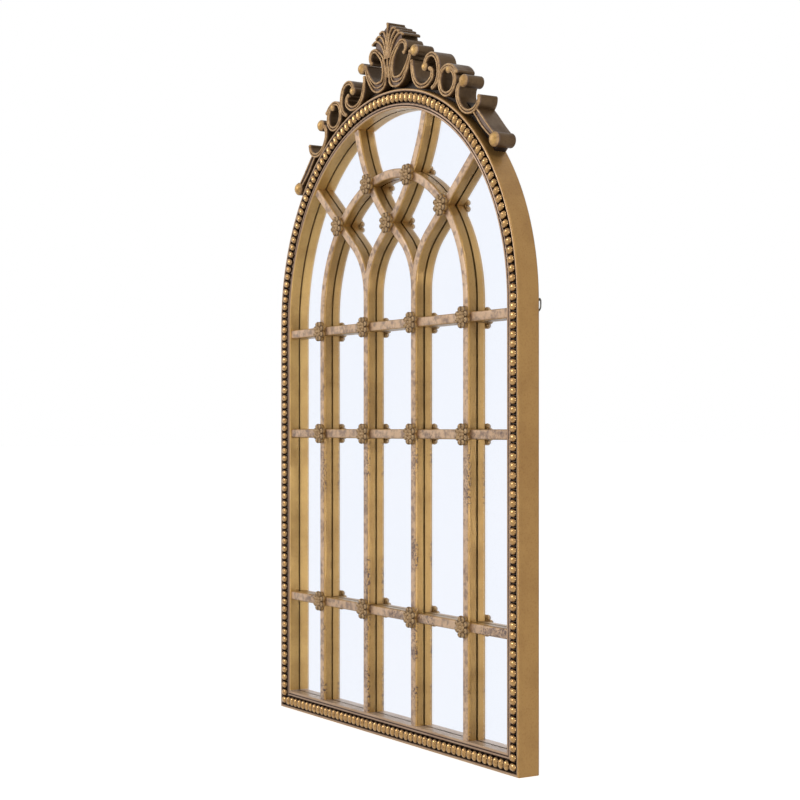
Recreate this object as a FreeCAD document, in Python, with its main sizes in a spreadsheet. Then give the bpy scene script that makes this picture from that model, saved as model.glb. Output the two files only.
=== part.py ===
import FreeCAD, Part
import math
import os
from FreeCAD import Vector
from Sketcher import Constraint

# Arched wall mirror: gilt moulded frame, sheet mirror behind a tracery of bars, carved crest.
# The mirror faces -Y, +Z is up, y = 0 is the wall side of the frame.
# The origin is the centre of the arch, on the wall plane.

doc = FreeCAD.newDocument("ArchedWallMirror")
sheet = doc.addObject("Spreadsheet::Sheet", "Sizes")

sizes = [
    # Frame moulding; depths are counted from the wall side
    ("frame_width", 750, "outer width, and the outer diameter of the arch"),
    ("straight_height", 709, "springing of the arch above the base"),
    ("frame_depth", 41, "top of the outer rim"),
    ("face_width", 32, "width of the moulding"),
    ("rim_width", 5, "half-round outer rim"),
    ("channel_width", 18, "channel for the beads"),
    ("channel_depth", 7, "channel floor below the rim"),
    ("reed_drop", 2, "two inner reeds below the rim"),
    ("back_round", 4, "rounded outer back edge"),
    ("rabbet_width", 12, "rabbet for the glass"),
    ("lip_depth", 20, "front of the glass"),
    # Glass and backing
    ("glass_thickness", 4, "silvered sheet glass"),
    ("board_thickness", 3, "hardboard back"),
    ("panel_clearance", 1, "glass edge to rabbet wall"),
    ("point_thickness", 0.8, "steel retaining point"),
    ("point_width", 8, "width of a retaining point"),
    ("point_length", 18, "half in the wood, half over the board"),
    ("point_spacing", 170, "greatest distance between points"),
    # Strings of beads
    ("bead_pitch", 14.17, "bead to bead"),
    ("bead_radius", 6.5, "one bead"),
    ("bead_length", 16.6, "one bead, across the channel"),
    ("bead_sink", 3.2, "bead centre below the rim"),
    ("strip_base", 2, "flat base under the beads"),
    ("strip_clearance", 0.2, "strip to channel wall"),
    # Bars of the tracery
    ("bar_width", 16, "every bar"),
    ("bar_depth", 15.5, "bar front above the glass"),
    ("bar_round", 3.6, "eased front edges"),
    ("lap_clearance", 0.15, "side play in a halved joint"),
    ("end_clearance", 0.2, "bar end to the curved sight edge"),
    ("side_pane", 115, "outer mullions from the sight edge"),
    ("upper_drop", 16, "upper transom below the springing"),
    ("middle_drop", 183, "middle transom below the upper one"),
    ("lower_drop", 300.5, "lower transom below the middle one"),
    ("arch_stilt", 9, "inner arch centre above the springing"),
    ("split_height", 38, "inner mullions fork above the springing"),
    ("branch_radius", 115, "curve of each fork"),
    ("branch_angle", 40, "slope of the straight stretch, degrees"),
    ("ogee_radius", 330, "return curve from the middle apex to the frame"),
    # Rosettes on the crossings
    ("rosette_radius", 18.4, "outer edge of the petals"),
    ("rosette_height", 11, "boss above the bars"),
    ("rosette_disc", 6.5, "thickness of the disc behind the petals"),
    ("petal_count", 8, "petals in each ring"),
    ("petal_radius", 5.4, "outer petals"),
    ("petal_drop", 1, "outer petals below the boss"),
    ("petal_dimple", 1.4, "radius of the hole drilled in each outer petal"),
    ("inner_petal", 3, "inner petals"),
    ("boss_radius", 3.6, "centre boss"),
    # Crest
    ("crest_front", 39, "lips of the scrolls"),
    ("crest_back", 3.5, "flat back of the castings"),
    ("lip_width", 3.4, "raised lip along each side of a scroll"),
    ("ground_depth", 4, "ground between the lips, below them"),
    ("tail_drop", 1.5, "lips of the tail below the others"),
    ("ridge_width", 2.6, "ridge along the middle of the heart"),
    ("ridge_drop", 1, "ridge below the lips"),
    ("ball_rise", 0.6, "height of a dome over its radius"),
    ("ball_shoulder", 1, "foot of the dome below the lips"),
    ("back_ease", 0.3, "rounded back edge of a ball over its radius"),
    ("end_swell", 0.5, "rounded scroll end beyond its lips"),
    ("spine_height", 13, "recessed plinth on the arch"),
    ("spine_front", 24, "front of the plinth"),
    ("seat_clearance", 0.2, "plinth to arch"),
    ("seam", 0.3, "between the castings"),
    ("leaf_ridge", 3.6, "ridge along each leaf of the palmette"),
    ("peg_level", 17.5, "crest peg from the wall side"),
    ("peg_radius", 3, "crest peg"),
    ("peg_length", 18, "crest peg"),
    # Dowels in the frame joints
    ("dowel_radius", 4, "springing and crown dowels"),
    ("dowel_length", 40, "springing and crown dowels"),
    ("mitre_dowel_radius", 3, "bottom corners"),
    ("mitre_dowel_length", 14, "bottom corners"),
    ("hole_clearance", 0.1, "round a dowel, peg, point or screw"),
    # Hangers
    ("hanger_inset", 11, "hanger from the outer edge"),
    ("hanger_height", 4, "ring pivot above the springing"),
    ("wire_radius", 1.2, "ring wire"),
    ("eye_clearance", 0.08, "ring wire in the rolled eye"),
    ("strap_sheet", 1, "strap thickness"),
    ("strap_width", 13, "strap width"),
    ("strap_length", 44, "below the pivot"),
    ("pivot_standoff", 2.7, "pivot behind the frame"),
    ("ring_half_width", 9, "to the middle of the wire"),
    ("ring_drop", 18, "pivot to the middle of the bow"),
    ("ring_corner", 2.4, "bend at the straight side"),
    ("screw_radius", 1.6, "hanger screw"),
    ("screw_length", 14, "under the head"),
    ("screw_head_radius", 3.4, "pan head"),
    ("screw_head_height", 2, "pan head"),
    ("first_screw", 28, "below the pivot"),
    ("screw_spacing", 10, "between the two screws of a strap"),
]
for row, (alias, value, note) in enumerate(sizes, 1):
    sheet.set("A%d" % row, note)
    sheet.set("B%d" % row, str(value))
    sheet.setAlias("B%d" % row, alias)
doc.recompute()

node_objects = []


def size(alias):
    return float(sheet.get(alias))


def node(obj, label):
    obj.Label = label
    node_objects.append(obj)
    return obj


def shaped(label, shape):
    obj = doc.addObject("Part::Feature", label)
    obj.Shape = shape
    obj.Placement = FreeCAD.Placement()
    return node(obj, label)


def feature(kind, name, **expressions):
    obj = doc.addObject(kind, name)
    for prop, text in expressions.items():
        obj.setExpression(prop.replace("__", "."), text)
    return obj


# Values that follow from the driving sizes
outer_radius = size("frame_width") / 2
base_level = -size("straight_height")
sight_radius = outer_radius - size("face_width")
rabbet_wall = size("face_width") - size("rabbet_width")
land_middle = rabbet_wall / 2
joint_depth = size("lip_depth") / 2
channel_floor = size("frame_depth") - size("channel_depth")
bar_back = size("lip_depth")
bar_front = bar_back + size("bar_depth")
lap_plane = bar_back + size("bar_depth") / 2
half_bar = size("bar_width") / 2
board_back = size("lip_depth") - size("glass_thickness") - size("board_thickness")
wide = 2 * size("frame_width")


# Outlines and sweeps
def outline_face(place, start, moves):
    edges = []
    here = start
    for move in moves + [(start,)]:
        there = move[-1]
        if len(move) == 2:
            edges.append(Part.Arc(place(*here), place(*move[0]), place(*there)).toShape())
        elif there != here:
            edges.append(Part.LineSegment(place(*here), place(*there)).toShape())
        here = there
    return Part.Face(Part.Wire(edges))


def across_path(x, z, heading):
    turn = math.radians(heading)
    return lambda across, depth: Vector(x - across * math.sin(turn), -depth, z + across * math.cos(turn))


def walk(x, z, heading, moves):
    steps = []
    for kind, reach, turn in moves:
        angle = math.radians(heading)
        if kind == "line":
            ahead = Vector(reach * math.cos(angle), 0, reach * math.sin(angle))
            steps.append((x, z, heading, kind, ahead, 0))
            x, z = x + ahead.x, z + ahead.z
        else:
            side = math.copysign(1, turn)
            centre = Vector(x - side * reach * math.sin(angle), 0, z + side * reach * math.cos(angle))
            steps.append((x, z, heading, kind, centre, turn))
            heading += turn
            angle = math.radians(heading)
            x = centre.x + side * reach * math.sin(angle)
            z = centre.z - side * reach * math.cos(angle)
    return steps


def path_edges(steps):
    edges = []
    for x, z, heading, kind, where, turn in steps:
        start = Vector(x, 0, z)
        if kind == "line":
            edges.append(Part.LineSegment(start, start + where).toShape())
        else:
            swing = [FreeCAD.Rotation(Vector(0, -1, 0), turn * share) for share in (0.5, 1)]
            middle, end = [where + half.multVec(start - where) for half in swing]
            edges.append(Part.Arc(start, middle, end).toShape())
    return edges


def sweep(steps, make_face):
    # One section carried along lines and tangent arcs, always upright to the wall
    pipe = Part.BRepOffsetAPI.MakePipeShell(Part.Wire(path_edges(steps)))
    pipe.setBiNormalMode(Vector(0, 1, 0))
    pipe.add(make_face(across_path(*steps[0][:3])).OuterWire, False, False)
    pipe.build()
    pipe.makeSolid()
    return pipe.shape()


def joined(solids):
    return solids[0].multiFuse(solids[1:]).removeSplitter()


def arcs_between(start, start_way, end, end_way):
    # Two tangent arcs between two points whose directions are known
    chord = end - start
    ways = start_way + end_way
    bend = 2 * (1 - start_way.dot(end_way))
    along = chord.dot(ways)
    if bend < 1e-6:
        reach = chord.dot(chord) / (4 * chord.dot(end_way))
    else:
        reach = (math.sqrt(along * along + bend * chord.dot(chord)) - along) / bend
    middle = (start + end + (start_way - end_way) * reach) * 0.5
    return [arc_to(start, start_way, middle), arc_to(end, end_way * -1, middle, True)]


def arc_to(start, way, end, reverse=False):
    chord = end - start
    turn = 2 * math.atan2(way.x * chord.z - way.z * chord.x, way.dot(chord))
    if abs(turn) < 1e-4:
        return ("line", chord.Length, 0)
    radius = chord.Length / (2 * math.sin(abs(turn) / 2))
    return ("arc", radius, math.degrees(-turn if reverse else turn))


def curve_through(points):
    ways = []
    for before, here, after in zip(points, points[1:], points[2:]):
        into = here - before
        out = after - here
        ways.append((into / into.dot(into) + out / out.dot(out)).normalize())
    first = points[1] - points[0]
    last = points[-1] - points[-2]
    first_way = first * (2 * first.dot(ways[0]) / first.dot(first)) - ways[0]
    last_way = last * (2 * last.dot(ways[-1]) / last.dot(last)) - ways[-1]
    ways = [first_way] + ways + [last_way]
    moves = []
    for index in range(len(points) - 1):
        moves += arcs_between(points[index], ways[index], points[index + 1], ways[index + 1])
    heading = math.degrees(math.atan2(ways[0].z, ways[0].x))
    return walk(points[0].x, points[0].z, heading, moves)


def rectangle_face(half_width, near, far):
    corners = [((half_width, near),), ((half_width, far),), ((-half_width, far),)]
    return lambda place: outline_face(place, (-half_width, near), corners)


def upright_box(x0, x1, y0, y1, z0, z1):
    return Part.makeBox(x1 - x0, y1 - y0, z1 - z0, Vector(x0, y0, z0))


def rod(centre, way, radius, length):
    way = Vector(way).normalize()
    return Part.makeCylinder(radius, length, centre - way * (length / 2), way)


def mirrored(shape):
    return shape.mirror(Vector(0, 0, 0), Vector(1, 0, 0))


# Frame: moulding section, counted inward from the outer edge and forward from the wall side
def moulding(place):
    depth = size("frame_depth")
    rim = size("rim_width") / 2
    channel_end = size("rim_width") + size("channel_width")
    reed = (size("face_width") - channel_end) / 4
    reed_foot = depth - size("reed_drop") - reed
    corner = size("back_round")
    eased = corner * (1 - math.sqrt(0.5))
    return outline_face(place, (rabbet_wall, 0), [
        ((corner, 0),),
        ((eased, eased), (0, corner)),
        ((0, depth - rim),),
        ((rim, depth), (2 * rim, depth - rim)),
        ((2 * rim, channel_floor),),
        ((channel_end, channel_floor),),
        ((channel_end, reed_foot),),
        ((channel_end + reed, reed_foot + reed), (channel_end + 2 * reed, reed_foot)),
        ((channel_end + 3 * reed, reed_foot + reed), (size("face_width"), reed_foot)),
        ((size("face_width"), size("lip_depth")),),
        ((rabbet_wall, size("lip_depth")),),
    ])


def stile_place(inward, depth):
    return Vector(outer_radius - inward, -depth, 0)


def rail_place(inward, depth):
    return Vector(-outer_radius, -depth, base_level + inward)


def corner_wedge(over_rail):
    reach = 2 * size("face_width")
    spare = size("rim_width")
    tip = Vector(outer_radius + spare, -wide / 2, base_level - spare)
    far = Vector(outer_radius - reach, -wide / 2, base_level + reach)
    third = Vector(far.x, tip.y, tip.z) if over_rail else Vector(tip.x, tip.y, far.z)
    return Part.Face(Part.makePolygon([tip, far, third, tip])).extrude(Vector(0, wide, 0))


# Dowels: one at each bottom mitre and springing, one at the crown
mitre_point = Vector(outer_radius - land_middle, -joint_depth, base_level + land_middle)
spring_point = Vector(outer_radius - land_middle, -joint_depth, 0)
crown_point = Vector(0, -joint_depth, outer_radius - land_middle)


def dowels(clearance):
    mitre = rod(mitre_point, (1, 0, 1), size("mitre_dowel_radius") + clearance,
                size("mitre_dowel_length") + 2 * clearance)
    spring = rod(spring_point, (0, 0, 1), size("dowel_radius") + clearance,
                 size("dowel_length") + 2 * clearance)
    crown = rod(crown_point, (1, 0, 0), size("dowel_radius") + clearance,
                size("dowel_length") + 2 * clearance)
    return [mitre, mirrored(mitre), spring, mirrored(spring), crown]


# Retaining points: driven into the rabbet wall, lying on the back of the board
def point_box(clearance):
    half_length = size("point_length") / 2 + clearance
    half_width = size("point_width") / 2 + clearance
    return upright_box(-half_length, half_length,
                       -board_back - clearance, -board_back + size("point_thickness") + clearance,
                       -half_width, half_width)


def spread(length):
    count = math.ceil(length / size("point_spacing"))
    return [(index + 0.5) * length / count for index in range(count)]


def points_on_stile(clearance):
    wall = outer_radius - rabbet_wall
    return [point_box(clearance).translate(Vector(wall, 0, -height))
            for height in spread(size("straight_height") - rabbet_wall)]


def points_on_arch(clearance):
    wall = outer_radius - rabbet_wall
    found = []
    for along in spread(wall * math.pi / 2):
        plate = point_box(clearance).translate(Vector(wall, 0, 0))
        plate.rotate(Vector(0, 0, 0), Vector(0, -1, 0), math.degrees(along / wall))
        found.append(plate)
    return found


def points_on_rail(clearance):
    length = 2 * (outer_radius - rabbet_wall)
    found = []
    for along in spread(length):
        plate = point_box(clearance)
        plate.rotate(Vector(0, 0, 0), Vector(0, 1, 0), 90)
        found.append(plate.translate(Vector(along - length / 2, 0, base_level + rabbet_wall)))
    return found


# Hanger screws and the pilot holes that take them
hanger_x = outer_radius - size("hanger_inset")


def screw_places():
    for number in range(2):
        drop = size("first_screw") + number * size("screw_spacing")
        yield Vector(hanger_x, size("strap_sheet"), size("hanger_height") - drop)


def screw_shanks(clearance):
    length = size("screw_length") + clearance
    return [Part.makeCylinder(size("screw_radius") + clearance, length, place, Vector(0, -1, 0))
            for place in screw_places()]


# Crest pegs: radial, into the arch and the castings; places counted along the arch from the crown
peg_places = [20, 108, 232]


def pegs(clearance):
    found = []
    for along in peg_places:
        angle = along / outer_radius
        way = Vector(math.sin(angle), 0, math.cos(angle))
        depth = Vector(0, -size("peg_level"), 0)
        found.append(rod(way * outer_radius + depth, way, size("peg_radius") + clearance,
                         size("peg_length") + 2 * clearance))
    return found


play = size("hole_clearance")
stile = moulding(stile_place).extrude(Vector(0, 0, base_level))
stile = stile.cut([corner_wedge(True)] + dowels(play) + points_on_stile(play) + screw_shanks(play))
shaped("frame_right_stile", stile)
shaped("frame_left_stile", mirrored(stile))

rail = moulding(rail_place).extrude(Vector(size("frame_width"), 0, 0))
wedge = corner_wedge(False)
shaped("frame_bottom_rail", rail.cut([wedge, mirrored(wedge)] + dowels(play) + points_on_rail(play)))

arch = moulding(stile_place).revolve(Vector(0, 0, 0), Vector(0, -1, 0), 90)
arch = arch.cut(dowels(play) + points_on_arch(play) + pegs(play))
shaped("frame_arch_right", arch)
shaped("frame_arch_left", mirrored(arch))
shaped("frame_dowels", Part.makeCompound(dowels(0)))

fixed_points = points_on_stile(0) + points_on_arch(0)
fixed_points += [mirrored(plate) for plate in fixed_points] + points_on_rail(0)
shaped("retaining_points", Part.makeCompound(fixed_points))


# Strings of beads: a flat strip with long beads lying across it, one string for each frame member
strip_half = size("channel_width") / 2 - size("strip_clearance")
channel_middle = size("rim_width") + size("channel_width") / 2
string_radius = outer_radius - channel_middle
strip_face = rectangle_face(strip_half, channel_floor, channel_floor + size("strip_base"))
bead_level = size("frame_depth") - size("bead_sink")


def long_bead():
    radius = size("bead_radius")
    end = size("bead_length") / 2
    straight = end - radius
    eased = radius * math.sqrt(0.5)
    place = lambda across, out: Vector(across, -bead_level - out, 0)
    profile = outline_face(place, (-end, 0), [
        ((-straight - eased, eased), (-straight, radius)),
        ((straight, radius),),
        ((straight + eased, eased), (end, 0)),
    ])
    whole = profile.revolve(Vector(0, -bead_level, 0), Vector(1, 0, 0), 360)
    return whole.cut(upright_box(-wide, wide, -channel_floor - size("strip_base") / 2, wide, -wide, wide))


one_bead = long_bead()


def string_of_beads(strip, places):
    beads = []
    for x, z, turn in places:
        bead = one_bead.copy()
        bead.rotate(Vector(0, 0, 0), Vector(0, -1, 0), turn)
        beads.append(bead.translate(Vector(x, 0, z)))
    return strip.fuse(beads).removeSplitter()


def bead_steps(length):
    count = round(length / size("bead_pitch"))
    return [(index + 0.5) * length / count for index in range(count)]


side_length = size("straight_height") - channel_middle
side_strip = sweep(walk(string_radius, 0, -90, [("line", side_length + strip_half, 0)]), strip_face)
side_places = [(string_radius, -drop, 0) for drop in bead_steps(side_length + size("bead_pitch") / 2)]
side_string = string_of_beads(side_strip, side_places)
shaped("beads_right", side_string)
shaped("beads_left", mirrored(side_string))

rail_reach = 2 * (string_radius - strip_half - size("strip_clearance"))
rail_level = base_level + channel_middle
rail_strip = sweep(walk(-rail_reach / 2, rail_level, 0, [("line", rail_reach, 0)]), strip_face)
rail_places = [(along - rail_reach / 2, rail_level, 90) for along in bead_steps(rail_reach)]
shaped("beads_bottom", string_of_beads(rail_strip, rail_places))

arch_strip = sweep(walk(string_radius, 0, 90, [("arc", string_radius, 90)]), strip_face)
arch_angles = [along / string_radius for along in bead_steps(string_radius * math.pi / 2)]
arch_places = [(string_radius * math.cos(angle), string_radius * math.sin(angle), math.degrees(angle))
               for angle in arch_angles]
arch_string = string_of_beads(arch_strip, arch_places)
shaped("beads_arch_right", arch_string)
shaped("beads_arch_left", mirrored(arch_string))


# Glass and backing board: one arched outline, padded to each thickness
def arched_panel(label, thickness, back):
    body = doc.addObject("PartDesign::Body", label)
    plane = [f for f in body.Origin.OriginFeatures if f.Role == "XZ_Plane"][0]
    outline = body.newObject("Sketcher::SketchObject", label + "_outline")
    outline.AttachmentSupport = [(plane, "")]
    outline.MapMode = "FlatFace"
    half = outer_radius - rabbet_wall - size("panel_clearance")
    foot = base_level + rabbet_wall + size("panel_clearance")
    outline.addGeometry([
        Part.LineSegment(Vector(-half, foot, 0), Vector(half, foot, 0)),
        Part.LineSegment(Vector(half, foot, 0), Vector(half, 0, 0)),
        Part.ArcOfCircle(Part.Circle(Vector(0, 0, 0), Vector(0, 0, 1), half), 0, math.pi),
        Part.LineSegment(Vector(-half, 0, 0), Vector(-half, foot, 0)),
    ])
    bind_panel(outline)
    pad = body.newObject("PartDesign::Pad", label + "_pad")
    pad.Profile = outline
    pad.setExpression("Length", "Sizes." + thickness)
    body.setExpression("Placement.Base.y", "-(%s)" % back)
    return node(body, label)


def bind_panel(outline):
    for first, first_end, second, second_end in [(0, 2, 1, 1), (1, 2, 2, 1), (2, 2, 3, 1), (3, 2, 0, 1)]:
        outline.addConstraint(Constraint("Coincident", first, first_end, second, second_end))
    outline.addConstraint(Constraint("Horizontal", 0))
    outline.addConstraint(Constraint("Vertical", 1))
    outline.addConstraint(Constraint("Vertical", 3))
    outline.addConstraint(Constraint("Coincident", 2, 3, -1, 1))
    radius = outline.addConstraint(Constraint("Radius", 2, outer_radius))
    height = outline.addConstraint(Constraint("DistanceY", 1, 1, 1, 2, -base_level))
    level = outline.addConstraint(Constraint("PointOnObject", 2, 1, -1))
    outline.renameConstraint(radius, "panel_radius")
    outline.renameConstraint(height, "panel_height")
    outline.renameConstraint(level, "springing")
    edge = "(Sizes.face_width - Sizes.rabbet_width + Sizes.panel_clearance)"
    outline.setExpression("Constraints.panel_radius", "Sizes.frame_width / 2 - " + edge)
    outline.setExpression("Constraints.panel_height", "Sizes.straight_height - " + edge)


arched_panel("mirror_glass", "glass_thickness", "Sizes.lip_depth - Sizes.glass_thickness")
arched_panel("backing_board", "board_thickness",
             "Sizes.lip_depth - Sizes.glass_thickness - Sizes.board_thickness")


# Bars: flat-fronted with eased edges, halved together where they cross
def bar_face(place):
    ease = size("bar_round")
    mid = ease * (1 - math.sqrt(0.5))
    return outline_face(place, (-half_bar, bar_back), [
        ((-half_bar, bar_front - ease),),
        ((-half_bar + mid, bar_front - mid), (-half_bar + ease, bar_front)),
        ((half_bar - ease, bar_front),),
        ((half_bar - mid, bar_front - mid), (half_bar, bar_front - ease)),
        ((half_bar, bar_back),),
    ])


front_housing = rectangle_face(half_bar + size("lap_clearance"), lap_plane, wide)
back_housing = rectangle_face(half_bar + size("lap_clearance"), -wide, lap_plane)

sight_base = base_level + size("face_width")
outer_x = sight_radius - size("side_pane")
inner_x = outer_x / 3
rise = size("branch_angle")
fork = size("split_height")

rail_names = ["upper", "middle", "lower"]
rail_levels = [-sum(size(name + "_drop") for name in rail_names[:count]) for count in (1, 2, 3)]
mullion_tops = [(-outer_x, size("arch_stilt")), (-inner_x, fork),
                (inner_x, fork), (outer_x, size("arch_stilt"))]

transom_paths = [walk(-sight_radius, level, 0, [("line", 2 * sight_radius, 0)]) for level in rail_levels]
mullion_paths = [walk(x, sight_base, 90, [("line", top - sight_base, 0)]) for x, top in mullion_tops]
arch_path = walk(outer_x, size("arch_stilt"), 90, [("arc", outer_x, 180)])

# Each inner mullion forks: one branch leans outward to the frame, one inward over the middle apex
bend = math.radians(90 - rise)
bend_end_x = size("branch_radius") * (1 - math.cos(bend))
bend_end_z = fork + size("branch_radius") * math.sin(bend)
slope = math.tan(math.radians(rise))
apex_z = bend_end_z + (inner_x - bend_end_x) * slope
to_apex = (inner_x - bend_end_x) / math.cos(math.radians(rise))
first_bend = ("arc", size("branch_radius"), rise - 90)
outward_path = walk(inner_x, fork, 90, [first_bend, ("line", outer_radius, 0)])
inward_path = walk(-inner_x, fork, 90, [first_bend, ("line", to_apex, 0),
                                        ("arc", size("ogee_radius"), 90 - rise)])


def plain_bar(path):
    return sweep(path, bar_face)


for number, path in enumerate(mullion_paths, 1):
    bar = plain_bar(path).cut([sweep(other, front_housing) for other in transom_paths])
    shaped("mullion_%d" % number, bar)

for name, path in zip(rail_names, transom_paths):
    bar = plain_bar(path).cut([sweep(other, back_housing) for other in mullion_paths])
    shaped("transom_" + name, bar)

sight_disc = Part.makeCylinder(sight_radius - size("end_clearance"), wide,
                               Vector(0, wide / 2, 0), Vector(0, -1, 0))
outward_back = sweep(outward_path, back_housing)
inward_back = sweep(inward_path, back_housing)
inner_arch = plain_bar(arch_path)
inner_arch = inner_arch.cut([outward_back, mirrored(outward_back), inward_back, mirrored(inward_back)])
shaped("inner_arch", inner_arch)

arch_housing = sweep(arch_path, front_housing)
beyond_fork = upright_box(inner_x - wide, inner_x, -wide, wide, fork - wide, fork + wide)
outward = plain_bar(outward_path).common(sight_disc).cut([arch_housing, beyond_fork])
shaped("branch_outer_right", outward)
shaped("branch_outer_left", mirrored(outward))

inward_front = sweep(inward_path, front_housing)
inside_fork = upright_box(-inner_x - wide, -inner_x, -wide, wide, fork - wide, fork + wide)
inward = plain_bar(inward_path).common(sight_disc).cut([arch_housing, inside_fork])
shaped("branch_inner_left", inward.cut(mirrored(inward_back)))
shaped("branch_inner_right", mirrored(inward).cut(inward_front))


# Rosettes: two rings of petals round a boss, one on every crossing
def outward_crossing():
    # Straight stretch of the outward branch, met with the inner arch
    start_x = inner_x + bend_end_x
    lift = bend_end_z - size("arch_stilt") - start_x * slope
    square = 1 + slope * slope
    half_b = lift * slope
    x = (math.sqrt(half_b * half_b - square * (lift * lift - outer_x * outer_x)) - half_b) / square
    return x, bend_end_z + (x - start_x) * slope


def inward_crossing():
    # Return curve of the inward branch, met with the inner arch
    lean = math.radians(rise)
    centre_x = -size("ogee_radius") * math.sin(lean)
    centre_z = apex_z + size("ogee_radius") * math.cos(lean) - size("arch_stilt")
    reach = math.hypot(centre_x, centre_z)
    near = (outer_x ** 2 - size("ogee_radius") ** 2 + reach ** 2) / (2 * reach)
    off = math.sqrt(outer_x ** 2 - near ** 2)
    x = (near * centre_x + off * centre_z) / reach
    z = (near * centre_z - off * centre_x) / reach
    return x, z + size("arch_stilt")


def petal_places(reach, turn, height):
    found = []
    for index in range(int(size("petal_count"))):
        angle = math.radians((index + turn) * 360 / size("petal_count"))
        found.append(Vector(reach * math.cos(angle), -height, reach * math.sin(angle)))
    return found


def rosette():
    high = size("rosette_height")
    petal = size("petal_radius")
    reach = size("rosette_radius") - petal
    petal_top = high - size("petal_drop")
    inner = size("inner_petal")
    boss = size("boss_radius")
    disc = Part.makeCylinder(reach, size("rosette_disc"), Vector(0, 0, 0), Vector(0, -1, 0))
    petals = [Part.makeSphere(petal, place) for place in petal_places(reach, 0.5, petal_top - petal)]
    petals += [Part.makeSphere(inner, place) for place in petal_places(boss + inner, 0, high - inner)]
    dimples = [Part.makeCylinder(size("petal_dimple"), petal, place, Vector(0, -1, 0))
               for place in petal_places(reach, 0.5, size("rosette_disc"))]
    petals.append(Part.makeSphere(boss, Vector(0, boss - high, 0)))
    behind = upright_box(-wide, wide, 0, wide, -wide, wide)
    return disc.multiFuse(petals).cut(dimples + [behind]).removeSplitter()


flower = rosette()
crossings = [("%s_%d" % (name, number), x, level)
             for name, level in zip(rail_names, rail_levels)
             for number, (x, top) in enumerate(mullion_tops, 1)]
outer_crossing = outward_crossing()
inner_crossing = inward_crossing()
crossings += [("apex", 0, apex_z),
              ("outer_right", outer_crossing[0], outer_crossing[1]),
              ("outer_left", -outer_crossing[0], outer_crossing[1]),
              ("inner_right", inner_crossing[0], inner_crossing[1]),
              ("inner_left", -inner_crossing[0], inner_crossing[1])]
for name, x, z in crossings:
    blossom = doc.addObject("Part::Feature", "rosette_" + name)
    blossom.Shape = flower
    blossom.Placement = FreeCAD.Placement(Vector(x, -bar_front, z), FreeCAD.Rotation())
    node(blossom, "rosette_" + name)


# Crest: scrolls laid out along the outer edge of the arch, from the crown to the right,
# each point as the distance along the arch, the height above it and the width of the scroll there
heart = [(61.5, 60, 6.2), (58.5, 45, 10), (51, 29, 13), (38.5, 16, 17), (26, 13.5, 19),
         (13.5, 17.5, 18), (9.7, 30, 14), (10.2, 44, 12), (14.7, 57.5, 10.5), (24.5, 70, 8.5),
         (35.5, 78.5, 7.6), (45, 76, 7.2), (48, 68.5, 6.2), (45, 60, 5.8)]
under = [(68, 44, 6), (71.5, 31.5, 7), (80.5, 15, 8), (93.5, 7, 8.5), (109.5, 7, 8.5),
         (123.5, 15, 9), (129.5, 25.5, 8.5), (127, 34.5, 7), (120.5, 36.5, 6)]
over = [(104.5, 40, 6.6), (107.5, 52, 7.5), (117.5, 59, 8), (130.5, 57, 8),
        (140.5, 46, 8), (146, 32.5, 8), (145.5, 19, 8), (138, 9, 6)]
ring = [(169.5, 46.5, 6.6), (181, 47, 7), (191, 38.5, 8), (193, 23.5, 8), (183, 10.5, 8.5), (166.5, 9, 8),
        (154, 21, 7.5), (152.5, 37.5, 7.5), (161.5, 49, 7.5), (175.5, 53, 7), (189.5, 50, 6)]
cup = [(208.5, 39, 5.8), (205.5, 29.5, 7.4), (209, 19.5, 7.6), (221, 10, 7.6), (238.5, 7, 8),
       (254.5, 14, 8), (263, 26.5, 8), (263.5, 38, 6.6), (260.5, 44, 5.8)]
tail = [(262, 21.5, 12), (276, 20.5, 13), (290, 19.5, 14), (305, 20, 13), (324.5, 23, 11)]
heart_ball = (72.5, 62, 9.5)
wing_balls = [(106, 37.5, 7), (170, 46.5, 6.2), (214, 45, 10), (334.5, 23, 11.5)]
leaves = [[(0, 24), (0, 70), (0, 114)],
          [(2.4, 56), (3, 82), (6.7, 98), (13.3, 104.5), (18.5, 102.5)],
          [(4.6, 56), (7.8, 80), (14.4, 93.5), (22.2, 99), (28, 96.5)],
          [(7, 56), (13.7, 78.5), (22.7, 89), (32, 93), (38.5, 90)]]
crest_front = size("crest_front")
ground = crest_front - size("ground_depth")


def on_arch(along, above):
    angle = along / outer_radius
    reach = outer_radius + above
    return Vector(reach * math.sin(angle), 0, reach * math.cos(angle))


def route(points):
    return curve_through([on_arch(*point[:2]) for point in points])


def side_route(points, side, inset):
    # One edge of a scroll, square off its middle line
    steps = route(points)
    headings = [step[2] for step in steps[::2]] + [steps[-1][2] + steps[-1][5]]
    found = []
    for (along, above, width), heading in zip(points, headings):
        turn = math.radians(heading)
        square = Vector(-math.sin(turn), 0, math.cos(turn))
        found.append(on_arch(along, above) + square * (side * (width / 2 - inset)))
    return curve_through(found)


def lip_face(width, top):
    half = width / 2
    back = size("crest_back")
    return lambda place: outline_face(place, (-half, back), [
        ((-half, top - half),),
        ((0, top), (half, top - half)),
        ((half, back),),
    ])


def band(first, second, near, far):
    # Plate between two paths
    one = Part.Wire(path_edges(first))
    other = Part.Wire(path_edges(second))
    ends = [(wire.OrderedVertexes[0].Point, wire.OrderedVertexes[-1].Point) for wire in (one, other)]
    caps = [Part.LineSegment(ends[0][tip], ends[1][tip]).toShape() for tip in (0, 1)]
    outline = Part.Wire(Part.__sortEdges__(one.Edges + other.Edges + caps))
    return Part.Face(outline).translate(Vector(0, -near, 0)).extrude(Vector(0, near - far, 0))


def scroll(points, front):
    lip = size("lip_width")
    sides = [side_route(points, side, lip / 2) for side in (1, -1)]
    lips = [sweep(path, lip_face(lip, front)) for path in sides]
    return band(*sides, size("crest_back"), ground).fuse(lips)


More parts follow.
